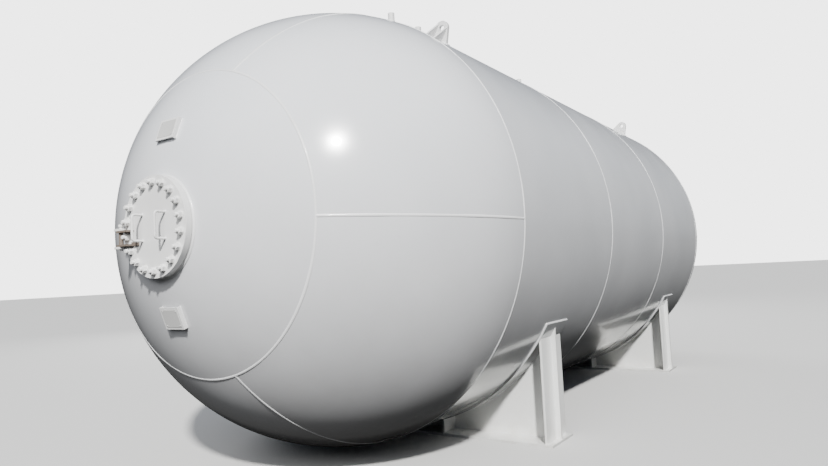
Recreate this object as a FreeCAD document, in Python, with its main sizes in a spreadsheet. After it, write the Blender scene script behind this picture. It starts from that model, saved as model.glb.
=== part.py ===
import FreeCAD, Part
import math
import os
import Sketcher
from FreeCAD import Placement, Rotation, Vector

# Horizontal pressure tank on two saddles, lengths in mm and angles in degrees.
# Frame: X runs along the tank from the manhole end (-X) to the plain end (+X),
# Z is up and the saddles stand on Z = 0.

SIZES = [
    # vessel
    ("tank_r", 1700),
    ("wall_t", 18),
    ("course_len", 1880),
    ("belly_gap", 70),
    ("head_depth", 1590),
    ("crown_ang", 36),
    ("petal_turn", 56),
    # manhole in the near head
    ("manhole_drop", 26),
    ("ring_r", 315),
    ("ring_bore_r", 225),
    ("ring_set_back", 16),
    ("ring_depth", 130),
    ("gasket_t", 3),
    ("cover_t", 40),
    ("stud_ring_r", 272),
    ("stud_r", 13.5),
    ("stud_grip", 50),
    ("stud_over", 44),
    ("nut_flats", 41),
    ("nut_t", 26),
    # grab handles on the cover
    ("grip_r", 8),
    ("grip_len", 160),
    ("grip_out", 70),
    ("grip_bend", 18),
    ("grip_y", 115),
    # hinge at the left edge of the cover
    ("hinge_z", 55),
    ("leaf_in", 205),
    ("leaf_h", 100),
    ("leaf_t", 12),
    ("leaf_out", 50),
    ("strap_w", 24),
    ("strap_t", 14),
    ("strap_in", 150),
    ("ear_t", 14),
    ("ear_w", 22),
    ("pin_y", 307),
    ("pin_r", 10),
    ("barrel_r", 14),
    ("pin_head_r", 16),
    # nameplate holders
    ("plate_w", 180),
    ("plate_h", 145),
    ("plate_stand", 24),
    ("plate_t", 6),
    ("plate_ang", 20),
    # lifting lugs, two a side
    ("lug_w", 230),
    ("lug_t", 26),
    ("lug_eye_h", 102),
    ("lug_eye_r", 22),
    ("lug_round_r", 58),
    ("lug_side_ang", 30),
    ("lug_from_seam", 400),
    ("gusset_len", 126),
    ("gusset_h", 125),
    ("gusset_t", 14),
    ("gusset_y", 44),
    # pipe stubs on the shoulder of the shell
    ("stub_r", 26),
    ("stub_wall", 6),
    ("stub_h", 85),
    ("stub_y", 610),
    ("stub_one_x", 110),
    ("stub_two_x", 490),
    ("stub_three_x", 2460),
    # saddles
    ("saddle_from_seam", 950),
    ("base_w", 420),
    ("base_half", 1480),
    ("base_t", 20),
    ("web_t", 18),
    ("web_half", 1470),
    ("end_w", 390),
    ("end_y", 1420),
    ("rib_y", 490),
    ("wear_t", 12),
    ("wear_w", 424),
    ("wear_ang", 61),
    ("anchor_r", 18),
    ("anchor_x", 230),
    ("anchor_y", 620),
]

# Sizes that follow from the others, worked out inside the spreadsheet.
DERIVED = [
    ("axis_z", "tank_r + belly_gap"),
    ("manhole_z", "axis_z - manhole_drop"),
    ("head_r", "(tank_r * tank_r + head_depth * head_depth) / (2 * head_depth)"),
    ("head_shift", "head_r - head_depth"),
    ("front_out", "gasket_t + cover_t + grip_out + grip_r - ring_set_back"),
    ("whole_len", "front_out + 2 * head_depth + 3 * course_len"),
    ("seam_a_x", "front_out + head_depth - whole_len / 2"),
    ("seam_d_x", "seam_a_x + 3 * course_len"),
    ("pole_x", "seam_a_x - head_depth"),
    ("ring_x", "pole_x + ring_set_back"),
    ("lid_x", "ring_x - gasket_t"),
    ("face_x", "lid_x - cover_t"),
    ("seat_r", "tank_r + wear_t"),
    ("near_saddle_x", "seam_a_x + saddle_from_seam"),
    ("far_saddle_x", "seam_d_x - saddle_from_seam"),
]
PETALS = 5
STUDS = 18
DEGREE = math.pi / 180
SINK = 40.0  # how far a lug blank starts below the shell surface before it is trimmed

# Fixed turns, named by where the local axes go.
TO_FRONT = Rotation(Vector(0, 1, 0), -90)
TOP_BEND = Rotation(Vector(0, 0, 1), Vector(-1, 0, 0), Vector(0, -1, 0), "ZXY")
LOW_BEND = Rotation(Vector(-1, 0, 0), Vector(0, 0, -1), Vector(0, -1, 0), "ZXY")
ALONG = Rotation(Vector(1, 0, 0), Vector(0, 0, 1), Vector(0, -1, 0), "ZXY")
ALONG_BACK = Rotation(Vector(-1, 0, 0), Vector(0, 0, 1), Vector(0, 1, 0), "ZXY")
CROSSWISE = Rotation(Vector(0, 1, 0), Vector(0, 0, 1), Vector(1, 0, 0), "ZXY")

doc = FreeCAD.newDocument("pressure_tank")
sheet = doc.addObject("Spreadsheet::Sheet", "Sizes")
finished = []


def fill_sheet():
    row = 1
    for alias, value in SIZES:
        sheet.set("A%d" % row, alias)
        sheet.set("B%d" % row, str(value))
        sheet.setAlias("B%d" % row, alias)
        row += 1
    for alias, formula in DERIVED:
        sheet.set("A%d" % row, alias)
        sheet.set("B%d" % row, "=" + formula)
        sheet.setAlias("B%d" % row, alias)
        row += 1
        doc.recompute()


def size(alias):
    return float(sheet.get(alias))


def bind(thing, path, formula):
    """Drive one property from the sheet, each @name standing for a sheet alias."""
    thing.setExpression(path, formula.replace("@", "Sizes."))


def place(thing, x="0", y="0", z="0", turn=Rotation(), angle=None):
    thing.Placement = Placement(Vector(0, 0, 0), turn)
    bind(thing, "Placement.Base.x", x)
    bind(thing, "Placement.Base.y", y)
    bind(thing, "Placement.Base.z", z)
    if angle:
        bind(thing, "Placement.Rotation.Angle", angle)


def box(name, dx, dy, dz, x, y, z, turn=Rotation(), angle=None):
    item = doc.addObject("Part::Box", name)
    bind(item, "Length", dx)
    bind(item, "Width", dy)
    bind(item, "Height", dz)
    place(item, x, y, z, turn, angle)
    return item


def rod(name, radius, length, x, y, z, turn=Rotation()):
    item = doc.addObject("Part::Cylinder", name)
    bind(item, "Radius", radius)
    bind(item, "Height", length)
    place(item, x, y, z, turn)
    return item


def cut(name, base, tool):
    item = doc.addObject("Part::Cut", name)
    item.Base = base
    item.Tool = tool
    return item


def fuse(name, items):
    item = doc.addObject("Part::MultiFuse", name)
    item.Shapes = items
    item.Refine = True
    return item


def group(name, items):
    item = doc.addObject("Part::Compound", name)
    item.Links = items
    return item


def finish(item, label):
    item.Label = label
    finished.append(item)
    return item

def new_body(name, turn=ALONG):
    body = doc.addObject("PartDesign::Body", name)
    sketch = body.newObject("Sketcher::SketchObject", name + "_profile")
    sketch.Placement = Placement(Vector(0, 0, 0), turn)
    return body, sketch


def measure(sketch, name, constraint, formula):
    """Add a named dimension to a sketch and drive it from the sheet."""
    index = sketch.addConstraint(constraint)
    sketch.renameConstraint(index, name)
    bind(sketch, "Constraints." + name, formula)


def spin(body, sketch, sweep):
    turn = body.newObject("PartDesign::Revolution", body.Name + "_turn")
    turn.Profile = sketch
    turn.ReferenceAxis = (sketch, ["H_Axis"])
    turn.Midplane = True
    turn.Angle = 90
    bind(turn, "Angle", sweep)
    sketch.Visibility = False
    body.Tip = turn


def ring(name, length, inner, outer, sweep="360"):
    """A band with a rectangular section turned about X, starting at x = 0."""
    body, sketch = new_body(name)
    corners = [Vector(0, 1, 0), Vector(2, 1, 0), Vector(2, 2, 0), Vector(0, 2, 0)]
    for index in range(4):
        line = Part.LineSegment(corners[index], corners[(index + 1) % 4])
        sketch.addGeometry(line, False)
    for index in range(4):
        following = (index + 1) % 4
        sketch.addConstraint(Sketcher.Constraint("Coincident", index, 2, following, 1))
    for index in (0, 2):
        sketch.addConstraint(Sketcher.Constraint("Horizontal", index))
    for index in (1, 3):
        sketch.addConstraint(Sketcher.Constraint("Vertical", index))
    sketch.addConstraint(Sketcher.Constraint("PointOnObject", 0, 1, -2))
    measure(sketch, "far_side", Sketcher.Constraint("DistanceX", -1, 1, 1, 1, 2.0), length)
    measure(sketch, "outside", Sketcher.Constraint("DistanceY", -1, 1, 2, 1, 2.0), outer)
    measure(sketch, "inside", Sketcher.Constraint("DistanceY", -1, 1, 0, 1, 1.0), inner)
    spin(body, sketch, sweep)
    return body


def edge_rule(sketch, line, rule):
    """Hold one end of a dome section: on the axis, at the seam plane or radial."""
    kind, formula, value = rule
    rail = {"axis": -1, "seam": -2}
    if kind in rail:
        sketch.addConstraint(Sketcher.Constraint("PointOnObject", line, 1, rail[kind]))
        sketch.addConstraint(Sketcher.Constraint("PointOnObject", line, 2, rail[kind]))
    if kind == "radial":
        sketch.addConstraint(Sketcher.Constraint("PointOnObject", 0, 3, line))
        angle = Sketcher.Constraint("Angle", line, value * DEGREE)
        measure(sketch, "seam_angle", angle, formula)


def dome(name, centre_x, low, high, sweep):
    """A piece of a spherical shell turned about X; low and high end its section."""
    body, sketch = new_body(name)
    outer = size("head_r")
    inner = outer - size("wall_t")
    centre = Vector(centre_x, 0, 0)
    start = low[2] * DEGREE
    stop = high[2] * DEGREE
    for radius in (outer, inner):
        circle = Part.Circle(centre, Vector(0, 0, 1), radius)
        sketch.addGeometry(Part.ArcOfCircle(circle, start, stop), False)
    for angle in (start, stop):
        way = Vector(math.cos(angle), math.sin(angle), 0)
        line = Part.LineSegment(centre + way * inner, centre + way * outer)
        sketch.addGeometry(line, False)
    sketch.addConstraint(Sketcher.Constraint("PointOnObject", 0, 3, -1))
    sketch.addConstraint(Sketcher.Constraint("Coincident", 1, 3, 0, 3))
    for line, end in ((2, 1), (3, 2)):
        sketch.addConstraint(Sketcher.Constraint("Coincident", line, 1, 1, end))
        sketch.addConstraint(Sketcher.Constraint("Coincident", line, 2, 0, end))
    edge_rule(sketch, 2, low)
    edge_rule(sketch, 3, high)
    shift = Sketcher.Constraint("DistanceX", -1, 1, 0, 3, centre_x)
    sign = "-" if centre_x < 0 else ""
    measure(sketch, "shift", shift, sign + "@head_shift")
    measure(sketch, "outer", Sketcher.Constraint("Radius", 0, outer), "@head_r")
    measure(sketch, "inner", Sketcher.Constraint("Radius", 1, inner), "@head_r - @wall_t")
    spin(body, sketch, sweep)
    return body


def at_axis(body, x, angle="0"):
    body.Placement = Placement(Vector(0, 0, 0), Rotation(Vector(1, 0, 0), 1))
    bind(body, "Placement.Base.x", x)
    bind(body, "Placement.Base.z", "@axis_z")
    bind(body, "Placement.Rotation.Angle", angle)


def heads():
    crown = size("crown_ang")
    shift = size("head_shift")
    near_rim = ("radial", "180 - @crown_ang", 180 - crown)
    far_rim = ("radial", "@crown_ang", crown)
    disc_blank = dome("near_crown_blank", shift, near_rim, ("axis", "", 180), "360")
    at_axis(disc_blank, "@seam_a_x")
    hole = disc("ring_hole", "@ring_r", "@head_depth", "@pole_x + @head_depth - 50")
    finish(cut("near_head_crown", disc_blank, hole), "near_head_crown")
    far_crown = dome("far_head_crown", -shift, ("axis", "", 0), far_rim, "360")
    at_axis(far_crown, "@seam_d_x")
    finish(far_crown, "far_head_crown")
    sweep = "%g" % (360.0 / PETALS)
    for index in range(PETALS):
        turn = "@petal_turn + %d * %s" % (index, sweep)
        tag = "head_petal_%d" % (index + 1)
        near = dome("near_" + tag, shift, ("seam", "", 93.5), near_rim, sweep)
        at_axis(near, "@seam_a_x", turn)
        finish(near, "near_" + tag)
        far = dome("far_" + tag, -shift, far_rim, ("seam", "", 86.5), sweep)
        at_axis(far, "@seam_d_x", turn)
        finish(far, "far_" + tag)


def shoulder_stubs():
    """Short upright pipes off the top line of the shell, and the holes they need."""
    holes = []
    rows = [("pipe_stub_front", "@stub_one_x"),
            ("pipe_stub_middle", "@stub_two_x"),
            ("pipe_stub_rear", "@stub_three_x")]
    surface = "sqrt(@tank_r * @tank_r - @stub_y * @stub_y)"
    low = "@axis_z + %s - 60" % surface
    for name, x in rows:
        spot = "@seam_a_x + " + x
        outer = rod(name + "_outside", "@stub_r", "@stub_h + 60", spot, "-@stub_y", low)
        bore = rod(name + "_bore", "@stub_r - @stub_wall", "@stub_h + 60", spot,
                   "-@stub_y", low)
        finish(cut(name, outer, bore), name)
        holes.append(rod(name + "_hole", "@stub_r", "@stub_h + 60", spot, "-@stub_y", low))
    return group("stub_holes", holes)


def shell(holes):
    for index in range(3):
        name = "shell_course_%d" % (index + 1)
        band = ring(name + "_band", "@course_len", "@tank_r - @wall_t", "@tank_r")
        at_axis(band, "@seam_a_x + %d * @course_len" % index)
        finish(cut(name, band, holes), name)


def around(name, maker):
    """Copies made by maker(name, y, z), spaced round the stud circle."""
    items = []
    for index in range(STUDS):
        angle = 360.0 * (index + 0.5) / STUDS
        y = "@stud_ring_r * cos(%g deg)" % angle
        z = "@manhole_z + @stud_ring_r * sin(%g deg)" % angle
        items.append(maker("%s_%d" % (name, index + 1), y, z))
    return group(name, items)


def disc(name, radius, length, x):
    return rod(name, radius, length, x, "0", "@manhole_z", TO_FRONT)


def hollow_disc(name, outer, inner, length, x):
    return cut(name, disc(name + "_outside", outer, length, x),
               disc(name + "_bore", inner, length, x))


def manhole():
    """Forged ring set into the crown, closed by a flat cover on studs."""
    def threaded_hole(name, y, z):
        return rod(name, "@stud_r", "@stud_grip", "@ring_x + @stud_grip", y, z, TO_FRONT)

    def clear_hole(name, y, z):
        return rod(name, "@stud_r + 1.5", "@cover_t", "@lid_x", y, z, TO_FRONT)

    def stud(name, y, z):
        length = "@stud_grip + @gasket_t + @cover_t + @stud_over"
        return rod(name, "@stud_r", length, "@ring_x + @stud_grip", y, z, TO_FRONT)

    def nut(name, y, z):
        item = doc.addObject("Part::Prism", name)
        item.Polygon = 6
        bind(item, "Circumradius", "@nut_flats / 2 / cos(30 deg)")
        bind(item, "Height", "@nut_t")
        place(item, "@face_x", y, z, TO_FRONT)
        return item

    back = "@ring_x + @ring_depth"
    blank = hollow_disc("ring_blank", "@ring_r", "@ring_bore_r", "@ring_depth", back)
    finish(cut("manhole_ring", blank, around("threaded_holes", threaded_hole)),
           "manhole_ring")
    finish(hollow_disc("manhole_gasket", "@stud_ring_r - @stud_r - 4", "@ring_bore_r",
                       "@gasket_t", "@ring_x"), "manhole_gasket")
    lid = disc("cover_disc", "@ring_r", "@cover_t", "@lid_x")
    finish(cut("manhole_cover", lid, around("cover_holes", clear_hole)), "manhole_cover")
    studs = around("manhole_studs", stud)
    finish(studs, "manhole_studs")
    finish(cut("manhole_nuts", around("nut_blanks", nut), studs), "manhole_nuts")


def grab_handle(name, y):
    """A round rod bent to a U and standing off the cover, its long side upright."""
    leg = "@grip_out - @grip_bend"
    bend_x = "@face_x - @grip_out + @grip_bend"
    items = []
    for side, turn in (("+", TOP_BEND), ("-", LOW_BEND)):
        tag = "_top" if side == "+" else "_low"
        z = "@manhole_z %s @grip_len / 2" % side
        items.append(rod(name + tag + "_leg", "@grip_r", leg, "@face_x", y, z, TO_FRONT))
        bend = doc.addObject("Part::Torus", name + tag + "_bend")
        bind(bend, "Radius1", "@grip_bend")
        bind(bend, "Radius2", "@grip_r")
        bend.Angle3 = 90
        z = "@manhole_z %s (@grip_len / 2 - @grip_bend)" % side
        place(bend, bend_x, y, z, turn)
        items.append(bend)
    items.append(rod(name + "_bar", "@grip_r", "@grip_len - 2 * @grip_bend",
                     "@face_x - @grip_out", y, "@manhole_z - @grip_len / 2 + @grip_bend"))
    finish(fuse(name, items), name)


def hinge():
    """Barrel between two plates on the cover, cranked ears on the head, upright pin."""
    middle = "@manhole_z - @hinge_z"
    pin_x = "@face_x - @leaf_out / 2"
    pin_low = middle + " - @leaf_h / 2 - @ear_t - 12"
    pin_len = "@leaf_h + 2 * @ear_t + 24"
    core = rod("hinge_core", "@pin_r", pin_len, pin_x, "@pin_y", pin_low)
    leaf = [rod("leaf_barrel", "@barrel_r", "@leaf_h", pin_x, "@pin_y",
                middle + " - @leaf_h / 2"),
            box("leaf_strap", "@strap_t", "@leaf_in - @strap_in + 10", "@strap_w",
                "@face_x - @strap_t", "@strap_in", middle + " - @leaf_h / 2")]
    for low in (" - @leaf_h / 2", " + @leaf_h / 2 - @leaf_t"):
        leaf.append(box("leaf_plate_%d" % (len(leaf) - 1), "@leaf_out",
                        "@pin_y + @barrel_r - @leaf_in", "@leaf_t",
                        "@face_x - @leaf_out", "@leaf_in", middle + low))
    finish(cut("hinge_leaf", fuse("leaf_blank", leaf), core), "hinge_leaf")
    ears = []
    for side in (-1, 1):
        low = middle + " + %d * (@leaf_h / 2 + @ear_t / 2) - @ear_t / 2" % side
        tag = "hinge_ear_%d" % (len(ears) + 1)
        arm = box(tag + "_arm", "@leaf_out - 6", "@ring_r + 8 + @ear_w - @pin_y + 20",
                  "@ear_t", "@face_x - @leaf_out", "@pin_y - 20", low)
        leg = box(tag + "_leg", "@leaf_out + @cover_t + 60", "@ear_w", "@ear_t",
                  "@face_x - @leaf_out", "@ring_r + 8", low)
        ears.append(fuse(tag, [arm, leg]))
    ball = doc.addObject("Part::Sphere", "ear_seat")
    bind(ball, "Radius", "@head_r")
    place(ball, "@seam_a_x + @head_shift", "0", "@axis_z")
    bored = cut("ears_bored", group("hinge_ears", ears), core)
    finish(cut("hinge_ears_cut", bored, ball), "hinge_ears")
    pin = rod("pin_body", "@pin_r", pin_len, pin_x, "@pin_y", pin_low)
    cap = rod("pin_cap", "@pin_head_r", "14", pin_x, "@pin_y", pin_low + " + " + pin_len)
    finish(fuse("hinge_pin", [pin, cap]), "hinge_pin")


def nameplate(name, side):
    """A shallow channel standing off the head to hold a plate, open above and below."""
    angle = "(%s * @plate_ang)" % side
    deep = "(@head_r - 60)"

    def panel(tag, width, tall, extra):
        x = "@seam_a_x + @head_shift - %s * cos(%s * 1 deg) - %s / 2 * sin(%s * 1 deg)" % (
            deep, angle, tall, angle)
        z = "@axis_z + %s * sin(%s * 1 deg) - %s / 2 * cos(%s * 1 deg)" % (
            deep, angle, tall, angle)
        return box(name + tag, tall, width, "@plate_stand + 60 - " + extra, x,
                   "-" + width + " / 2", z, Rotation(Vector(0, 1, 0), 1), angle + " - 90")

    outer = panel("_outside", "@plate_w", "@plate_h", "0")
    inner = panel("_inside", "(@plate_w - 2 * @plate_t)", "(@plate_h + 40)", "@plate_t")
    ball = doc.addObject("Part::Sphere", name + "_seat")
    bind(ball, "Radius", "@head_r")
    place(ball, "@seam_a_x + @head_shift", "0", "@axis_z")
    finish(cut(name, cut(name + "_channel", outer, inner), ball), name)


def pad_sketch(body, sketch, length):
    pad = body.newObject("PartDesign::Pad", body.Name + "_pad")
    pad.Profile = sketch
    pad.Midplane = True
    pad.Length = 10
    bind(pad, "Length", length)
    sketch.Visibility = False
    body.Tip = pad


def lug_plate(name, x, angle):
    """Tapered plate with a round top and an eye, square to the tank axis."""
    body, sketch = new_body(name, CROSSWISE)
    half = size("lug_w") / 2
    eye = size("lug_eye_h") + SINK
    top = size("lug_round_r")
    normal = Vector(0, 0, 1)
    sketch.addGeometry(Part.LineSegment(Vector(-half, 0, 0), Vector(half, 0, 0)), False)
    sketch.addGeometry(Part.LineSegment(Vector(half, 0, 0), Vector(top, eye, 0)), False)
    rounding = Part.Circle(Vector(0, eye, 0), normal, top)
    sketch.addGeometry(Part.ArcOfCircle(rounding, 0.2, math.pi - 0.2), False)
    sketch.addGeometry(Part.LineSegment(Vector(-top, eye, 0), Vector(-half, 0, 0)), False)
    sketch.addGeometry(Part.Circle(Vector(0, eye, 0), normal, size("lug_eye_r")), False)
    links = [("Coincident", 0, 2, 1, 1), ("Tangent", 1, 2, 2, 1), ("Tangent", 2, 2, 3, 1),
             ("Coincident", 3, 2, 0, 1), ("PointOnObject", 0, 1, -1),
             ("Symmetric", 0, 1, 0, 2, -2), ("PointOnObject", 2, 3, -2),
             ("Coincident", 4, 3, 2, 3)]
    for link in links:
        sketch.addConstraint(Sketcher.Constraint(*link))
    measure(sketch, "wide", Sketcher.Constraint("DistanceX", 0, 1, 0, 2, 2 * half), "@lug_w")
    measure(sketch, "eye_height", Sketcher.Constraint("DistanceY", -1, 1, 2, 3, eye),
            "@lug_eye_h + %g" % SINK)
    measure(sketch, "rounding", Sketcher.Constraint("Radius", 2, top), "@lug_round_r")
    measure(sketch, "eye", Sketcher.Constraint("Radius", 4, size("lug_eye_r")), "@lug_eye_r")
    bind(sketch, "Placement.Base.z", "@tank_r - %g" % SINK)
    pad_sketch(body, sketch, "@lug_t")
    at_axis(body, x, angle)
    return body


def gusset(name, x, angle, turn, offset):
    """Right-angled stiffener from the lug plate down to the shell."""
    body, sketch = new_body(name, turn)
    reach = size("gusset_len")
    tall = size("gusset_h") + SINK
    corners = [Vector(0, 0, 0), Vector(reach, 0, 0), Vector(reach, SINK, 0),
               Vector(12, tall, 0), Vector(0, tall, 0)]
    for index in range(5):
        line = Part.LineSegment(corners[index], corners[(index + 1) % 5])
        sketch.addGeometry(line, False)
    for index in range(4):
        sketch.addConstraint(Sketcher.Constraint("Coincident", index, 2, index + 1, 1))
    sketch.addConstraint(Sketcher.Constraint("Coincident", 4, 2, 0, 1))
    sketch.addConstraint(Sketcher.Constraint("Coincident", 0, 1, -1, 1))
    sketch.addConstraint(Sketcher.Constraint("Horizontal", 0))
    sketch.addConstraint(Sketcher.Constraint("Vertical", 1))
    sketch.addConstraint(Sketcher.Constraint("Horizontal", 3))
    sketch.addConstraint(Sketcher.Constraint("Vertical", 4))
    measure(sketch, "reach", Sketcher.Constraint("DistanceX", 0, 1, 0, 2, reach),
            "@gusset_len")
    measure(sketch, "toe", Sketcher.Constraint("DistanceY", 1, 1, 1, 2, SINK), "%g" % SINK)
    measure(sketch, "tall", Sketcher.Constraint("DistanceY", 0, 1, 4, 1, tall),
            "@gusset_h + %g" % SINK)
    measure(sketch, "nose", Sketcher.Constraint("DistanceX", 4, 1, 3, 1, 12), "12")
    bind(sketch, "Placement.Base.z", "@tank_r - %g" % SINK)
    bind(sketch, "Placement.Base.y", offset)
    pad_sketch(body, sketch, "@gusset_t")
    at_axis(body, x, angle)
    return body


def lifting_lug(end, side):
    name = "lifting_lug_%s_%s" % (end, side)
    near = end == "near"
    x = "@seam_a_x + @lug_from_seam" if near else "@seam_d_x - @lug_from_seam"
    angle = "@lug_side_ang" if side == "right" else "-@lug_side_ang"
    turn = ALONG_BACK if near else ALONG
    parts = [lug_plate(name + "_plate", x, angle)]
    for offset in ("-@gusset_y", "@gusset_y"):
        parts.append(gusset("%s_gusset_%d" % (name, len(parts)), x, angle, turn, offset))
    seat = rod(name + "_seat", "@tank_r", "6 * @lug_w", x + " + 3 * @lug_w", "0",
               "@axis_z", TO_FRONT)
    finish(cut(name, fuse(name + "_blank", parts), seat), name)


def saddle_ribs(name, label, x, y, seat):
    """Upright plates in front of and behind the web, at both sides of the saddle."""
    items = []
    for side in ("-", "+"):
        for low in ("- @end_w / 2", "+ @web_t / 2"):
            items.append(box("%s%s_%d" % (name, label, len(items) + 1),
                             "(@end_w - @web_t) / 2", "@web_t", "@axis_z - @base_t",
                             x + " " + low, side + y + " - @web_t / 2", "@base_t"))
    blank = group(name + label + "_blank", items)
    finish(cut(name + label, blank, seat), name + label)


def saddle(name, x):
    seat = rod(name + "_seat", "@seat_r", "2 * @wear_w", x + " + @wear_w", "0",
               "@axis_z", TO_FRONT)
    base = box(name + "_base_blank", "@base_w", "2 * @base_half", "@base_t",
               x + " - @base_w / 2", "-@base_half", "0")
    holes = []
    for side_x in ("-", "+"):
        for side_y in ("-", "+"):
            tag = "%s_hole_%d" % (name, len(holes) + 1)
            spot = "%s %s @anchor_x / 2" % (x, side_x)
            holes.append(rod(tag, "@anchor_r", "@base_t", spot, side_y + "@anchor_y", "0"))
    finish(cut(name + "_base", base, group(name + "_holes", holes)), name + "_base")
    web = box(name + "_web_blank", "@web_t", "2 * @web_half", "@axis_z - @base_t",
              x + " - @web_t / 2", "-@web_half", "@base_t")
    finish(cut(name + "_web", web, seat), name + "_web")
    saddle_ribs(name, "_end_plates", x, "@end_y", seat)
    saddle_ribs(name, "_ribs", x, "@rib_y", seat)
    wear = ring(name + "_wear_plate", "@wear_w", "@tank_r", "@seat_r", "2 * @wear_ang")
    at_axis(wear, x + " - @wear_w / 2", "180")
    finish(wear, name + "_wear_plate")


def check_and_write():
    doc.recompute()
    doc.recompute()
    wrong = []
    for item in doc.Objects:
        if "Invalid" in item.State or "Error" in item.State:
            wrong.append(item.Name + " " + str(item.State))
    for item in finished:
        if item.Shape.isNull() or not item.Shape.isValid():
            wrong.append(item.Label + " has no valid shape")
    if wrong:
        raise RuntimeError("; ".join(wrong))
    os.makedirs("parts", exist_ok=True)
    for item in finished:
        item.Shape.exportStep(os.path.join("parts", item.Label + ".step"))


fill_sheet()
heads()
shell(shoulder_stubs())
manhole()
grab_handle("cover_handle_right", "-@grip_y")
grab_handle("cover_handle_left", "@grip_y")
hinge()
nameplate("nameplate_upper", "1")
nameplate("nameplate_lower", "-1")
for end in ("near", "far"):
    for side in ("right", "left"):
        lifting_lug(end, side)
saddle("near_saddle", "@near_saddle_x")
saddle("far_saddle", "@far_saddle_x")
check_and_write()
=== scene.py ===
import math

import bmesh
import bpy
import numpy as np
from mathutils import Matrix, Vector


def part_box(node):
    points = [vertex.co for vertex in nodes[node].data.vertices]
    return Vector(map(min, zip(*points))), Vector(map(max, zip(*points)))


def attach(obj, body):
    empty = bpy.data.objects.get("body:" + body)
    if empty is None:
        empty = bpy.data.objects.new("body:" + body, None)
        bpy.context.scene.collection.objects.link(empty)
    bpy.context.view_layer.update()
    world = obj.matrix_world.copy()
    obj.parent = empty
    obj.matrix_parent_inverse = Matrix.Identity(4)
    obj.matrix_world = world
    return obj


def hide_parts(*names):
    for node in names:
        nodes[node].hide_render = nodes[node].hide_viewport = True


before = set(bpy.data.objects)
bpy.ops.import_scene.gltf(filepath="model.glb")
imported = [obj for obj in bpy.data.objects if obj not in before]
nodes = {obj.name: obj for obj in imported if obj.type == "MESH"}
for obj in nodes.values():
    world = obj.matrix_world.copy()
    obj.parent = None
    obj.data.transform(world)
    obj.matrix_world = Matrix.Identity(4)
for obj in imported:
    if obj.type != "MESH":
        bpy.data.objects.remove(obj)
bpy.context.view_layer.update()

# ---------------------------------------------------------------- main sizes, from the CAD
course_low, course_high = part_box("shell_course_1")
SEAM_A = course_low.x
COURSE = course_high.x - course_low.x
SEAM_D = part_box("shell_course_3")[1].x
TANK_R = (course_high.y - course_low.y) / 2
AXIS_Z = (course_high.z + course_low.z) / 2
HEAD_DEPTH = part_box("far_head_crown")[1].x - SEAM_D
HEAD_R = (TANK_R ** 2 + HEAD_DEPTH ** 2) / (2 * HEAD_DEPTH)
HEAD_SHIFT = HEAD_R - HEAD_DEPTH
NEAR_CENTRE = SEAM_A + HEAD_SHIFT
FAR_CENTRE = SEAM_D - HEAD_SHIFT
CROWN_ANGLE = math.radians(36)
PETAL_EDGE = math.radians(110)
PETALS = 5
RIM_ANGLE = math.acos(-HEAD_SHIFT / HEAD_R)
COVER_LOW, COVER_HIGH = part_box("manhole_cover")
FACE_X = COVER_LOW.x
COVER_R = (COVER_HIGH.y - COVER_LOW.y) / 2
STUDS = 18
STUD_CIRCLE = 0.272
MANHOLE_Z = (COVER_LOW.z + COVER_HIGH.z) / 2
LUG_TURN = math.radians(30)          # each lug, from the top of the shell
HOLDER_TILT = math.radians(20)       # each nameplate holder, from the manhole's level
LONG_SEAM_DEGREES = (62, 24, 58)     # one a course, from the horizontal on the far side
WEB_THICK = 0.018
LUG_THICK = 0.026

# weld beads: half width and height
SEAM_BEAD = (0.010, 0.0055)
LONG_BEAD = (0.012, 0.006)
WEAR_BEAD = (0.008, 0.007)
WEB_BEAD = (0.007, 0.006)
BEAD_STEP = 0.005                    # spacing of the points along a long bead

SUN_WAY = (0.600, 0.500, -0.625)


# ---------------------------------------------------------------- node materials
def new_material(name):
    material = bpy.data.materials.new(name)
    material.use_nodes = True
    tree = material.node_tree
    tree.nodes.clear()
    output = tree.nodes.new("ShaderNodeOutputMaterial")
    shader = tree.nodes.new("ShaderNodeBsdfPrincipled")
    tree.links.new(shader.outputs["BSDF"], output.inputs["Surface"])
    return material, tree, shader


def noise(tree, where, scale, detail=3.0, rough=0.5):
    node = tree.nodes.new("ShaderNodeTexNoise")
    node.inputs["Scale"].default_value = scale
    node.inputs["Detail"].default_value = detail
    node.inputs["Roughness"].default_value = rough
    tree.links.new(where, node.inputs["Vector"])
    return node.outputs["Fac"]


def remap(tree, value, low, high, new_low, new_high):
    node = tree.nodes.new("ShaderNodeMapRange")
    node.inputs["From Min"].default_value = low
    node.inputs["From Max"].default_value = high
    node.inputs["To Min"].default_value = new_low
    node.inputs["To Max"].default_value = new_high
    tree.links.new(value, node.inputs["Value"])
    return node.outputs["Result"]


def mix_colour(tree, factor, first, second):
    node = tree.nodes.new("ShaderNodeMix")
    node.data_type = "RGBA"
    tree.links.new(factor, node.inputs["Factor"])
    for colour, place in ((first, "A"), (second, "B")):
        sockets = [s for s in node.inputs if s.name == place and s.type == "RGBA"]
        if isinstance(colour, (tuple, list)):
            sockets[0].default_value = (*colour, 1.0)
        else:
            tree.links.new(colour, sockets[0])
    return [s for s in node.outputs if s.type == "RGBA"][0]


def multiply(tree, first, second):
    node = tree.nodes.new("ShaderNodeMath")
    node.operation = "MULTIPLY"
    for value, place in ((first, 0), (second, 1)):
        if isinstance(value, float):
            node.inputs[place].default_value = value
        else:
            tree.links.new(value, node.inputs[place])
    return node.outputs["Value"]


def bump(tree, height, strength, distance, below=None):
    node = tree.nodes.new("ShaderNodeBump")
    node.inputs["Strength"].default_value = strength
    node.inputs["Distance"].default_value = distance
    tree.links.new(height, node.inputs["Height"])
    if below is not None:
        tree.links.new(below, node.inputs["Normal"])
    return node.outputs["Normal"]


def object_place(tree):
    return tree.nodes.new("ShaderNodeTexCoord").outputs["Object"]


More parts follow.
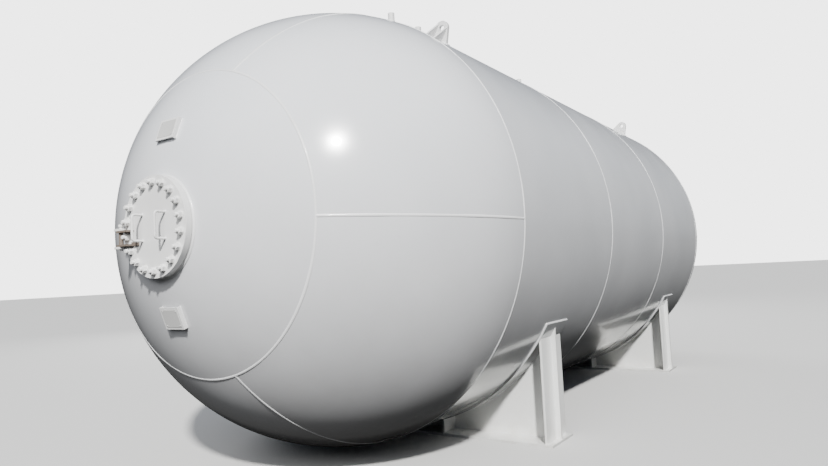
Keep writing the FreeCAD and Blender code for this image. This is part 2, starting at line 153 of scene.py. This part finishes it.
def height_above_floor(tree, where):
    split = tree.nodes.new("ShaderNodeSeparateXYZ")
    tree.links.new(where, split.inputs["Vector"])
    return split.outputs["Z"]


def paint(name, light, shade, gloss=(0.24, 0.36), waves=0.35, dust=0.25, dust_top=0.5,
          peel=0.05, round_edge=0.0, low_painted_shade=0.0):
    """Sprayed enamel: soft tone changes, orange peel, plate waviness and floor dust, and where
    asked a painted shade that darkens the colour towards the bottom.
    """
    material, tree, shader = new_material(name)
    where = object_place(tree)
    broad = remap(tree, noise(tree, where, 0.9, 4.0), 0.35, 0.65, 0.0, 1.0)
    tone = mix_colour(tree, broad, light, shade)
    # painted shade: from 2.4 m down to 0.5 m the colour darkens in cloudy patches towards a warm
    # dark grey; mostly this stands in for the lower shell being less lit, partly it is grime
    if low_painted_shade:
        low_shade_weight = remap(tree, height_above_floor(tree, where), 0.5, 2.4, low_painted_shade, 0.0)
        cloudy = remap(tree, noise(tree, where, 1.7, 5.0, 0.6), 0.30, 0.70, 0.75, 1.1)
        tone = mix_colour(tree, multiply(tree, low_shade_weight, cloudy), tone, (0.30, 0.285, 0.27))
    fleck = remap(tree, noise(tree, where, 38.0, 2.0), 0.62, 0.80, 0.0, 0.10)
    tone = mix_colour(tree, fleck, tone, (0.42, 0.41, 0.38))
    low = remap(tree, height_above_floor(tree, where), 0.0, dust_top, 1.0, 0.0)
    patchy = remap(tree, noise(tree, where, 6.0, 5.0, 0.65), 0.40, 0.70, 0.15, 1.0)
    soil = multiply(tree, multiply(tree, low, patchy), dust)
    tone = mix_colour(tree, soil, tone, (0.36, 0.31, 0.25))
    tree.links.new(tone, shader.inputs["Base Color"])
    rough = remap(tree, noise(tree, where, 2.3, 4.0), 0.3, 0.7, gloss[0], gloss[1])
    tree.links.new(rough, shader.inputs["Roughness"])
    edge = None
    if round_edge:
        bevel = tree.nodes.new("ShaderNodeBevel")
        bevel.samples = 4
        bevel.inputs["Radius"].default_value = round_edge
        edge = bevel.outputs["Normal"]
    normal = bump(tree, noise(tree, where, 1.6, 1.0), waves, 0.012, edge)
    normal = bump(tree, noise(tree, where, 260.0, 2.0), peel, 0.0015, normal)
    tree.links.new(normal, shader.inputs["Normal"])
    shader.inputs["Coat Weight"].default_value = 0.35
    shader.inputs["Coat Roughness"].default_value = 0.06
    return material


def matt(name, light, shade, rough=0.8):
    material, tree, shader = new_material(name)
    where = object_place(tree)
    patch = remap(tree, noise(tree, where, 14.0, 4.0), 0.35, 0.65, 0.0, 1.0)
    tree.links.new(mix_colour(tree, patch, light, shade), shader.inputs["Base Color"])
    normal = bump(tree, noise(tree, where, 180.0, 3.0), 0.2, 0.001)
    tree.links.new(normal, shader.inputs["Normal"])
    shader.inputs["Roughness"].default_value = rough
    return material


# the shell paint carries painted shade: its colour darkens towards the bottom
SHELL_PAINT = paint("shell_paint", (0.72, 0.735, 0.76), (0.665, 0.685, 0.715),
                    gloss=(0.13, 0.20), low_painted_shade=0.50)
FITTING_PAINT = paint("fitting_paint", (0.78, 0.78, 0.77), (0.69, 0.69, 0.685),
                      gloss=(0.32, 0.48), waves=0.1, dust=0.5, peel=0.12, round_edge=0.002)
SADDLE_PAINT = paint("saddle_paint", (0.84, 0.845, 0.825), (0.74, 0.75, 0.735),
                     gloss=(0.28, 0.42), waves=0.2, dust=0.35, dust_top=0.25, peel=0.1,
                     round_edge=0.003)
# partly painted sheen: the weld paint is a little lighter than the shell paint, standing in for
# the bright sunlit sheen of the beads
WELD_PAINT_AND_SHEEN = paint("weld_paint_and_sheen", (0.78, 0.785, 0.79), (0.71, 0.715, 0.72),
                   gloss=(0.26, 0.40), waves=0.05, dust=0.3, peel=0.3)
# partly painted shade: the hinge leaf is coloured dark brown, partly a dark coat of its own,
# partly the shade that fills the bracket's hollow
HINGE_DARK_PAINT_AND_SHADE = paint("hinge_dark_paint_and_shade", (0.17, 0.135, 0.11), (0.10, 0.085, 0.075),
                    gloss=(0.45, 0.65), waves=0.0, dust=0.0, peel=0.4, round_edge=0.001)
PLATE_PAINT = paint("plate_paint", (0.60, 0.60, 0.59), (0.47, 0.47, 0.46),
                    gloss=(0.35, 0.5), waves=0.05, dust=0.2, peel=0.2, round_edge=0.001)
STUD_PAINT = paint("stud_paint", (0.82, 0.82, 0.81), (0.70, 0.70, 0.69),
                   gloss=(0.35, 0.5), waves=0.0, dust=0.1, peel=0.3, round_edge=0.001)
RUBBER = matt("gasket_rubber", (0.045, 0.045, 0.045), (0.02, 0.02, 0.02))


def cad_material(name):
    if name == "manhole_gasket":
        return RUBBER
    # the hinge leaf gets the dark brown that partly paints the bracket's shade
    if name == "hinge_leaf":
        return HINGE_DARK_PAINT_AND_SHADE
    if "saddle" in name and not name.endswith("wear_plate"):
        return SADDLE_PAINT
    if name.startswith(("shell", "near_head", "far_head")) or name.endswith("wear_plate"):
        return SHELL_PAINT
    return FITTING_PAINT


for name, item in nodes.items():
    item.data.materials.clear()
    item.data.materials.append(cad_material(name))


# ---------------------------------------------------------------- mesh helpers
def add_piece(name, verts, faces, material, smooth=True):
    mesh = bpy.data.meshes.new(name)
    mesh.from_pydata([tuple(v) for v in verts], [], faces)
    mesh.validate()
    mesh.update()
    edit = bmesh.new()
    edit.from_mesh(mesh)
    bmesh.ops.recalc_face_normals(edit, faces=edit.faces)
    edit.to_mesh(mesh)
    edit.free()
    mesh.materials.append(material)
    if smooth:
        mesh.polygons.foreach_set("use_smooth", [True] * len(mesh.polygons))
    item = bpy.data.objects.new(name, mesh)
    bpy.context.scene.collection.objects.link(item)
    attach(item, "root")
    return item


def unit_rows(vectors):
    return vectors / np.linalg.norm(vectors, axis=1)[:, None]


def band(faces, start, rows, count):
    """Join closed rows of count points each, the first of them at start, with quads."""
    for row in range(rows - 1):
        for step in range(count):
            after = (step + 1) % count
            first = start + row * count
            faces.append((first + step, first + after, first + count + after,
                          first + count + step))


class Bead:
    """Collects weld runs into one mesh, each a rippled half-round laid along a line."""

    def __init__(self):
        self.verts = []
        self.faces = []

    def run(self, points, normals, half_wide, high, closed=False, pitch=0.011, sink=0.0025):
        points = np.asarray(points, float)
        normals = np.asarray(normals, float)
        if closed:
            ahead = np.roll(points, -1, 0) - np.roll(points, 1, 0)
        else:
            ahead = np.gradient(points, axis=0)
        side = unit_rows(np.cross(normals, unit_rows(ahead)))
        steps = np.linalg.norm(np.diff(points, axis=0), axis=1)
        along = np.concatenate([[0.0], np.cumsum(steps)])
        phase = 2 * math.pi * along / pitch
        wander = np.sin(along * 7.3) * 0.10 + np.sin(along * 19.1 + 1.7) * 0.06
        swell = 1 + 0.10 * np.cos(phase) + wander
        count = 6
        start = len(self.verts)
        for index, point in enumerate(points):
            for step in range(count + 1):
                turn = math.pi * step / count
                out = math.sin(turn) * high * swell[index] - sink
                reach = math.cos(turn) * half_wide * (1 + 0.5 * (swell[index] - 1))
                self.verts.append(point + side[index] * reach + normals[index] * out)
        rows = len(points)
        last = rows if closed else rows - 1
        for row in range(last):
            here = start + row * (count + 1)
            there = start + ((row + 1) % rows) * (count + 1)
            for step in range(count):
                self.faces.append((here + step, here + step + 1, there + step + 1, there + step))
            self.faces.append((here + count, here, there, there + count))
        if not closed:
            self.faces.append(tuple(range(start, start + count + 1)))
            end = start + (rows - 1) * (count + 1)
            self.faces.append(tuple(reversed(range(end, end + count + 1))))

    def line(self, first, last, normal, half_wide, high, step=0.004):
        first, last = np.array(first, float), np.array(last, float)
        count = max(2, int(np.linalg.norm(last - first) / step))
        ratio = np.linspace(0, 1, count)[:, None]
        points = first + (last - first) * ratio
        normal = np.array(normal, float)
        normal /= np.linalg.norm(normal)
        self.run(points, np.repeat(normal[None], count, 0), half_wide, high)

    def piece(self, name, material=None):
        # beads default to the lighter weld paint, which partly paints their sheen
        return add_piece(name, self.verts, self.faces, material or WELD_PAINT_AND_SHEEN)


def circle_points(x, radius, step=BEAD_STEP, start=0.0, sweep=2 * math.pi):
    """Points and outward normals on a circle round the tank axis."""
    count = int(radius * sweep / step)
    whole = abs(sweep - 2 * math.pi) < 1e-6
    turn = start + sweep * np.arange(count) / (count if whole else count - 1)
    normal = np.stack([np.zeros(count), np.cos(turn), np.sin(turn)], -1)
    points = normal * radius + np.array([x, 0, AXIS_Z])
    return points, normal


def head_point(side, tilt, turn):
    """A point on a head and its normal: tilt from the pole, turn round the axis."""
    centre = NEAR_CENTRE if side < 0 else FAR_CENTRE
    normal = np.array([side * math.cos(tilt), math.sin(tilt) * math.cos(turn),
                       math.sin(tilt) * math.sin(turn)])
    return normal * HEAD_R + np.array([centre, 0, AXIS_Z]), normal


# ---------------------------------------------------------------- weld seams of the vessel
def girth_seams():
    for index in range(4):
        bead = Bead()
        points, normal = circle_points(SEAM_A + index * COURSE, TANK_R)
        bead.run(points, normal, *SEAM_BEAD, closed=True)
        bead.piece("girth_weld_%d" % (index + 1))


def head_seams(side, tag):
    bead = Bead()
    count = int(2 * math.pi * HEAD_R * math.sin(CROWN_ANGLE) / BEAD_STEP)
    pairs = [head_point(side, CROWN_ANGLE, 2 * math.pi * i / count) for i in range(count)]
    bead.run(*zip(*pairs), *SEAM_BEAD, closed=True)
    for index in range(PETALS):
        turn = PETAL_EDGE + 2 * math.pi * index / PETALS
        sweep = math.pi - RIM_ANGLE - CROWN_ANGLE
        count = int(HEAD_R * sweep / BEAD_STEP)
        tilts = np.linspace(CROWN_ANGLE, math.pi - RIM_ANGLE, count)
        bead.run(*zip(*(head_point(side, tilt, turn) for tilt in tilts)), *SEAM_BEAD)
    bead.piece("head_weld_" + tag)


def long_seams():
    """One lengthwise seam a course, staggered, on the side away from the stubs."""
    bead = Bead()
    for index, degrees in enumerate(LONG_SEAM_DEGREES):
        turn = math.radians(degrees)
        normal = (0, math.cos(turn), math.sin(turn))
        start = SEAM_A + index * COURSE
        base = np.array([0, TANK_R * normal[1], AXIS_Z + TANK_R * normal[2]])
        bead.line(base + np.array([start, 0, 0]), base + np.array([start + COURSE, 0, 0]),
                  normal, *LONG_BEAD, BEAD_STEP)
    bead.piece("long_welds")


# ---------------------------------------------------------------- fillet welds
def ring_fillet():
    """Weld where the manhole ring comes out of the crown."""
    count = 420
    turn = 2 * math.pi * np.arange(count) / count
    y = COVER_R * np.cos(turn)
    z = MANHOLE_Z + COVER_R * np.sin(turn)
    x = NEAR_CENTRE - np.sqrt(HEAD_R ** 2 - y ** 2 - (z - AXIS_Z) ** 2)
    points = np.stack([x, y, z], -1)
    out = (points - np.array([NEAR_CENTRE, 0, AXIS_Z])) / HEAD_R
    away = np.stack([0 * y, np.cos(turn), np.sin(turn)], -1)
    bead = Bead()
    bead.run(points, unit_rows(out + away), 0.014, 0.010, closed=True)
    bead.piece("manhole_ring_weld")


def shell_ring(x, y, radius, lift=0.0, count=72):
    """A ring of points round an upright pipe, lying on the shell at height lift."""
    turn = 2 * math.pi * np.arange(count) / count
    px = x + radius * np.cos(turn)
    py = y + radius * np.sin(turn)
    pz = AXIS_Z + np.sqrt(TANK_R ** 2 - py ** 2) + lift
    return np.stack([px, py, pz], -1), turn


def stub_details(tag):
    """A flared boss and its weld where a pipe stub meets the shell."""
    low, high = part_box("pipe_stub_" + tag)
    x, y = (low.x + high.x) / 2, (low.y + high.y) / 2
    radius = (high.x - low.x) / 2
    verts, faces = [], []
    rows = ((0.024, -0.004), (0.024, 0.007), (0.018, 0.011), (0.009, 0.019), (0.003, 0.030),
            (-0.001, 0.033))
    count = 72
    for spread, lift in rows:
        verts.extend(shell_ring(x, y, radius + spread, lift, count)[0])
    band(faces, 0, len(rows), count)
    add_piece("stub_boss_" + tag, verts, faces, FITTING_PAINT)
    points, turn = shell_ring(x, y, radius + 0.024)
    away = np.stack([np.cos(turn), np.sin(turn), 0.9 + 0 * turn], -1)
    bead = Bead()
    bead.run(points, unit_rows(away), 0.007, 0.006, closed=True)
    bead.piece("stub_weld_" + tag)


def saddle_arc(bead, x, radius, span, lean, half_wide, high):
    """A fillet along an arc under the tank; lean is +1 or -1 along X."""
    points, normal = circle_points(x, radius, BEAD_STEP, -math.pi / 2 - span, 2 * span)
    bead.run(points, unit_rows(normal + np.array([lean, 0, 0])), half_wide, high)


def saddle_welds(tag):
    wear_low, wear_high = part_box(tag + "_saddle_wear_plate")
    web_low, web_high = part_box(tag + "_saddle_web")
    base_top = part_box(tag + "_saddle_base")[1].z
    end_low, end_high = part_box(tag + "_saddle_end_plates")
    seat_r = AXIS_Z - wear_low.z
    span = math.asin(wear_high.y / seat_r)
    bead = Bead()
    for x, lean in ((wear_low.x, -1), (wear_high.x, 1)):
        saddle_arc(bead, x, TANK_R + 0.001, span, lean, *WEAR_BEAD)
    for side in (-1, 1):
        turn = -math.pi / 2 + side * span
        normal = np.array([0, math.cos(turn), math.sin(turn)])
        spot = normal * (TANK_R + 0.001) + np.array([0, 0, AXIS_Z])
        uphill = np.array([0, -normal[2], normal[1]]) * side
        bead.line(spot + np.array([wear_low.x, 0, 0]), spot + np.array([wear_high.x, 0, 0]),
                  normal + uphill, *WEAR_BEAD)
    web_span = math.asin(min(0.999, web_high.y / seat_r))
    for x, lean in ((web_low.x, -1), (web_high.x, 1)):
        saddle_arc(bead, x, seat_r, web_span, lean, *WEB_BEAD)
        stitch_foot(bead, x, lean, base_top, end_high.y)
        for side in (-1, 1):
            upright_welds(bead, x, lean, side, base_top, end_high, seat_r)
    bead.piece(tag + "_saddle_welds")


def stitch_foot(bead, x, lean, base_top, end_y):
    """Short weld runs, with gaps, between the web and the base plate."""
    pitch, length = 0.24, 0.13
    count = int(2 * end_y / pitch)
    start = -count * pitch / 2
    for index in range(count):
        y = start + index * pitch + (pitch - length) / 2
        bead.line((x, y, base_top), (x, y + length, base_top), (lean, 0, 1), *WEAR_BEAD)


def upright_welds(bead, x, lean, side, base_top, end_high, seat_r):
    """Corner welds between the web and both faces of an end plate, and their feet."""
    middle = x - lean * WEB_THICK / 2
    end_x = middle + lean * (end_high.x - middle)
    for y, way in ((end_high.y, 1), (end_high.y - WEB_THICK, -1)):
        top = AXIS_Z - math.sqrt(seat_r ** 2 - min(y, seat_r - 0.01) ** 2) - 0.004
        bead.line((x, side * y, base_top), (x, side * y, top), (lean, side * way, 0),
                  0.006, 0.006)
        bead.line((x, side * y, base_top), (end_x, side * y, base_top),
                  (0, side * way, 1), *WEB_BEAD)


def lug_welds(name, side):
    low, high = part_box(name)
    turn = math.pi / 2 + LUG_TURN * side
    way, face = (1, high.x) if "near" in name else (-1, low.x)
    bead = Bead()
    half = 0.118 / TANK_R
    for x, lean in ((face, way), (face - way * LUG_THICK, -way)):
        points, normal = circle_points(x, TANK_R, 0.004, turn - half, 2 * half)
        bead.run(points, unit_rows(normal + np.array([lean, 0, 0])), 0.010, 0.009)
    bead.piece(name + "_weld")


def handle_welds():
    bead = Bead()
    for side in ("right", "left"):
        low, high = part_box("cover_handle_" + side)
        radius = (high.y - low.y) / 2
        y = (low.y + high.y) / 2
        for z in (low.z + radius, high.z - radius):
            turn = 2 * math.pi * np.arange(40) / 40
            away = np.stack([-0.9 + 0 * turn, np.cos(turn), np.sin(turn)], -1)
            spot = np.stack([FACE_X + 0 * turn, y + radius * np.cos(turn),
                             z + radius * np.sin(turn)], -1)
            bead.run(spot, unit_rows(away), 0.005, 0.0045, closed=True)
    bead.piece("handle_welds")


# ---------------------------------------------------------------- studs, nuts, plates
def lathe(verts, faces, profile, centre, count=14):
    """Add a turned shape along -X: profile is a list of (x, radius)."""
    start = len(verts)
    for x, radius in profile:
        for step in range(count):
            turn = 2 * math.pi * step / count
            verts.append((x, centre[0] + radius * math.cos(turn),
                          centre[1] + radius * math.sin(turn)))
    band(faces, start, len(profile), count)
    faces.append(tuple(range(start, start + count)))
    last = start + (len(profile) - 1) * count
    faces.append(tuple(range(last, last + count)))


def stud_centres():
    for index in range(STUDS):
        turn = 2 * math.pi * (index + 0.5) / STUDS
        yield (STUD_CIRCLE * math.cos(turn), MANHOLE_Z + STUD_CIRCLE * math.sin(turn)), index


def manhole_fixings():
    low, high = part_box("manhole_studs")
    tip, root = low.x, high.x
    radius, pitch = 0.0135, 0.003
    stud_verts, stud_faces = [], []
    nut_verts, nut_faces = [], []
    washer, flats = 0.004, 0.041
    nut_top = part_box("manhole_nuts")[0].x
    for centre, index in stud_centres():
        profile = [(root, radius), (FACE_X, radius), (nut_top + 0.001, radius)]
        x = nut_top
        while x > tip + 0.004:
            profile.append((x, radius))
            profile.append((x - pitch / 2, radius - 0.0012))
            x -= pitch
        profile.append((tip + 0.002, radius - 0.0008))
        profile.append((tip, radius - 0.003))
        lathe(stud_verts, stud_faces, profile, centre)
        rim = 0.0255
        lathe(nut_verts, nut_faces, [(FACE_X, rim), (FACE_X - washer + 0.0006, rim),
                                     (FACE_X - washer, rim - 0.0006)], centre, 28)
        spin = math.radians(11 + 23 * ((index * 7) % 5))
        hex_nut(nut_verts, nut_faces, FACE_X - washer, nut_top, flats, centre, spin)
    studs = add_piece("manhole_stud_set", stud_verts, stud_faces, STUD_PAINT,
                      smooth=False)
    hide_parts("manhole_studs")
    nuts = add_piece("manhole_nut_set", nut_verts, nut_faces, STUD_PAINT,
                     smooth=False)
    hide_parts("manhole_nuts")


def hex_nut(verts, faces, foot, top, flats, centre, spin):
    """A hexagon nut along -X with its outer corners turned off."""
    corner = flats / 2 / math.cos(math.pi / 6)
    chamfer = 0.003
    start = len(verts)
    rows = ((foot, 1.0, 1.0), (top + chamfer, 1.0, 1.0), (top, 0.90, 0.985))
    for x, at_corner, at_flat in rows:
        for step in range(12):
            turn = spin + math.pi * step / 6
            reach = corner * at_corner if step % 2 == 0 else flats / 2 * at_flat
            if x == top:
                reach = flats / 2 * 0.95
            verts.append((x, centre[0] + reach * math.cos(turn),
                          centre[1] + reach * math.sin(turn)))
    band(faces, start, len(rows), 12)
    faces.append(tuple(range(start + 24, start + 36)))
    faces.append(tuple(range(start, start + 12)))


def blank_plate(tag, side):
    """A plain thin plate riveted to the front of a nameplate holder."""
    tilt = HOLDER_TILT * side
    out = np.array([-math.cos(tilt), 0, math.sin(tilt)])
    up = np.array([math.sin(tilt), 0, math.cos(tilt)])
    across = np.array([0, 1.0, 0])
    front = np.array([NEAR_CENTRE, 0, AXIS_Z]) + out * (HEAD_R + 0.024)
    wide, tall, corner, thick = 0.152, 0.116, 0.010, 0.0016
    outline = []
    for sx, sy, start in ((1, 1, 0), (-1, 1, 90), (-1, -1, 180), (1, -1, 270)):
        for step in range(5):
            turn = math.radians(start + 22.5 * step)
            outline.append((sx * (wide / 2 - corner) + corner * math.cos(turn),
                            sy * (tall / 2 - corner) + corner * math.sin(turn)))
    verts, faces = [], []
    for lift in (-0.0005, thick):
        for u, v in outline:
            verts.append(front + across * u + up * v + out * lift)
    count = len(outline)
    band(faces, 0, 2, count)
    faces.append(tuple(range(count)))
    faces.append(tuple(range(count, 2 * count)))
    add_piece("nameplate_blank_" + tag, verts, faces, PLATE_PAINT, smooth=False)
    rivets, rivet_faces = [], []
    for sx in (-1, 1):
        for sy in (-1, 1):
            spot = front + across * sx * (wide / 2 - 0.012) + up * sy * (tall / 2 - 0.012)
            dome(rivets, rivet_faces, spot + out * thick, out, across, up, 0.0045, 0.003)
    add_piece("nameplate_rivets_" + tag, rivets, rivet_faces, PLATE_PAINT)


def dome(verts, faces, spot, out, across, up, radius, high):
    start = len(verts)
    count, rows = 12, 3
    for row in range(rows):
        tilt = math.pi / 2 * row / rows
        for step in range(count):
            turn = 2 * math.pi * step / count
            flat = across * math.cos(turn) + up * math.sin(turn)
            verts.append(spot + flat * radius * math.cos(tilt) + out * high * math.sin(tilt))
    verts.append(spot + out * high)
    band(faces, start, rows, count)
    for step in range(count):
        after = (step + 1) % count
        first = start + (rows - 1) * count
        faces.append((first + step, first + after, len(verts) - 1))
    faces.append(tuple(range(start, start + count)))


def holder_welds():
    """Short runs down both sides of each nameplate holder."""
    bead = Bead()
    half = 0.0725 / HEAD_R
    for side in (1, -1):
        middle = HOLDER_TILT * side
        for edge in (-1, 1):
            y = 0.09 * edge
            tilts = np.linspace(middle - half, middle + half, 40)
            reach = math.sqrt(HEAD_R ** 2 - y ** 2)
            out = np.stack([-np.cos(tilts), 0 * tilts, np.sin(tilts)], -1)
            points = out * reach + np.array([NEAR_CENTRE, y, AXIS_Z])
            bead.run(points, unit_rows(out + np.array([0, edge, 0])), 0.006, 0.005)
    bead.piece("holder_welds")


ring_fillet()
handle_welds()
holder_welds()
manhole_fixings()
for tag, side in (("upper", 1), ("lower", -1)):
    blank_plate(tag, side)
for tag in ("front", "middle", "rear"):
    stub_details(tag)
for tag in ("near", "far"):
    saddle_welds(tag)
    lug_welds("lifting_lug_%s_right" % tag, 1)
    lug_welds("lifting_lug_%s_left" % tag, -1)
girth_seams()
head_seams(-1, "near")
head_seams(1, "far")
long_seams()


# ---------------------------------------------------------------- camera, floor and light
def aim_camera():
    place = Vector((-6.685, -3.471, 1.383))
    yaw, pitch, roll, lens = 0.5983, 0.0631, -0.0495, 27.80
    ahead = Vector((math.cos(pitch) * math.cos(yaw), math.cos(pitch) * math.sin(yaw),
                    math.sin(pitch)))
    right = Vector((math.sin(yaw), -math.cos(yaw), 0))
    up = right.cross(ahead)
    right_rolled = right * math.cos(roll) + up * math.sin(roll)
    up_rolled = up * math.cos(roll) - right * math.sin(roll)
    data = bpy.data.cameras.new("view")
    data.lens = lens
    data.sensor_width = 36
    data.clip_end = 200
    item = bpy.data.objects.new("view", data)
    turn = Matrix((right_rolled, up_rolled, -ahead)).transposed()
    item.matrix_world = Matrix.Translation(place) @ turn.to_4x4()
    bpy.context.scene.collection.objects.link(item)
    bpy.context.scene.camera = item


def camera_only(tree, seen, lit):
    """Mix two shader sockets: the first for what the camera sees, the second for light."""
    path = tree.nodes.new("ShaderNodeLightPath")
    mix = tree.nodes.new("ShaderNodeMixShader")
    tree.links.new(path.outputs["Is Camera Ray"], mix.inputs[0])
    tree.links.new(lit, mix.inputs[1])
    tree.links.new(seen, mix.inputs[2])
    return mix.outputs["Shader"]


def floor():
    """A pale floor to look at that throws little light back under the tank."""
    mesh = bpy.data.meshes.new("floor")
    half = 150.0
    mesh.from_pydata([(-half, -half, 0), (half, -half, 0), (half, half, 0), (-half, half, 0)],
                     [], [(0, 1, 2, 3)])
    material = bpy.data.materials.new("floor_pale")
    material.use_nodes = True
    tree = material.node_tree
    tree.nodes.clear()
    output = tree.nodes.new("ShaderNodeOutputMaterial")
    shades = []
    for tone in (0.62, 0.03):
        shader = tree.nodes.new("ShaderNodeBsdfDiffuse")
        shader.inputs["Color"].default_value = (tone, tone, tone * 0.985, 1)
        shades.append(shader.outputs["BSDF"])
    tree.links.new(camera_only(tree, shades[0], shades[1]), output.inputs["Surface"])
    mesh.materials.append(material)
    item = bpy.data.objects.new("floor", mesh)
    bpy.context.scene.collection.objects.link(item)


def sun():
    lamp = bpy.data.lights.new("key", "SUN")
    lamp.energy = 7.8
    lamp.angle = math.radians(3.5)
    lamp.color = (1.0, 0.99, 0.97)
    item = bpy.data.objects.new("key", lamp)
    item.rotation_euler = Vector(SUN_WAY).to_track_quat("-Z", "Y").to_euler()
    bpy.context.scene.collection.objects.link(item)


def soft_light(name, place, aim, wide, watts):
    """A broad disc of light, kept out of the gloss so that it leaves no second glint."""
    lamp = bpy.data.lights.new(name, "AREA")
    lamp.shape = "DISK"
    lamp.size = wide
    lamp.energy = watts
    item = bpy.data.objects.new(name, lamp)
    item.location = place
    item.rotation_euler = (aim - place).to_track_quat("-Z", "Y").to_euler()
    item.visible_glossy = False
    item.visible_camera = False
    bpy.context.scene.collection.objects.link(item)


def sky():
    """Pale backdrop for the camera; soft cool light from above for everything else."""
    world = bpy.data.worlds.new("studio")
    world.use_nodes = True
    tree = world.node_tree
    tree.nodes.clear()
    output = tree.nodes.new("ShaderNodeOutputWorld")
    way = tree.nodes.new("ShaderNodeTexCoord").outputs["Generated"]
    split = tree.nodes.new("ShaderNodeSeparateXYZ")
    tree.links.new(way, split.inputs["Vector"])
    ramp = tree.nodes.new("ShaderNodeValToRGB")
    stops = ramp.color_ramp
    stops.elements[0].position = 0.0
    stops.elements[0].color = (0.05, 0.05, 0.05, 1)
    stops.elements[1].position = 1.0
    stops.elements[1].color = (0.62, 0.74, 0.98, 1)
    for position, tone in ((0.50, (0.05, 0.05, 0.05)), (0.53, (0.28, 0.30, 0.33)),
                           (0.70, (0.40, 0.48, 0.62))):
        stop = stops.elements.new(position)
        stop.color = (*tone, 1)
    lift = remap(tree, split.outputs["Z"], -1.0, 1.0, 0.0, 1.0)
    tree.links.new(lift, ramp.inputs["Fac"])
    lit = tree.nodes.new("ShaderNodeBackground")
    tree.links.new(ramp.outputs["Color"], lit.inputs["Color"])
    lit.inputs["Strength"].default_value = 0.30
    seen = tree.nodes.new("ShaderNodeBackground")
    seen.inputs["Color"].default_value = (1.0, 1.0, 1.0, 1)
    seen.inputs["Strength"].default_value = 4.0
    shade = camera_only(tree, seen.outputs["Background"], lit.outputs["Background"])
    tree.links.new(shade, output.inputs["Surface"])
    bpy.context.scene.world = world


aim_camera()
floor()
sun()
soft_light("near_fill", Vector((NEAR_CENTRE - 9.0, -3.2, AXIS_Z + 4.5)),
           Vector((NEAR_CENTRE, 0.0, AXIS_Z)), 6.0, 640.0)
soft_light("far_fill", Vector((FAR_CENTRE + 7.0, 10.0, AXIS_Z + 4.5)),
           Vector((FAR_CENTRE - 1.5, 0.0, AXIS_Z)), 8.0, 1500.0)
sky()
